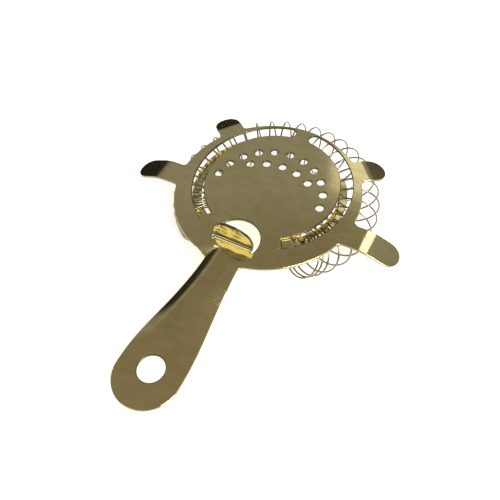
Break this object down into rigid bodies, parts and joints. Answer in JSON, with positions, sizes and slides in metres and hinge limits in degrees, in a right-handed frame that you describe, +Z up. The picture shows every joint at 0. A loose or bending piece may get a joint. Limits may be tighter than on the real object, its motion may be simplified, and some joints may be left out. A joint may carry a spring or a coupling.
{
  "type": "hawthorne strainer",
  "caption": "Flat round cocktail strainer with a perforated disc, side prongs, an upright finger tab, a tapered handle with a hanging hole, and a horseshoe coil spring under the rim.",
  "frame": {"origin": "centre of the round disc on its flat top face", "axes": "+Z up out of the top face, +Y towards the pouring front, handle along -Y, +X to the right seen from the handle"},
  "size_m": [0.1228, 0.1562, 0.0314],
  "materials": {
    "strainer_plate": "polished gold-tone plating over stainless steel sheet, with fine handling scratches",
    "coil_spring": "drawn steel wire with the same gold-tone plating, slightly duller"
  },
  "bodies": {
    "plate": {"strainer_plate": "strainer_plate"},
    "spring": {"coil_spring": "coil_spring"}
  },
  "joints": [
    {"name": "spring_press", "type": "slide", "parent": "plate", "child": "spring", "axis": [0, -1, 0], "range_m": [0, 0.004], "stiffness_N_per_m": 350, "deforming": ["coil_spring"]}
  ]
}
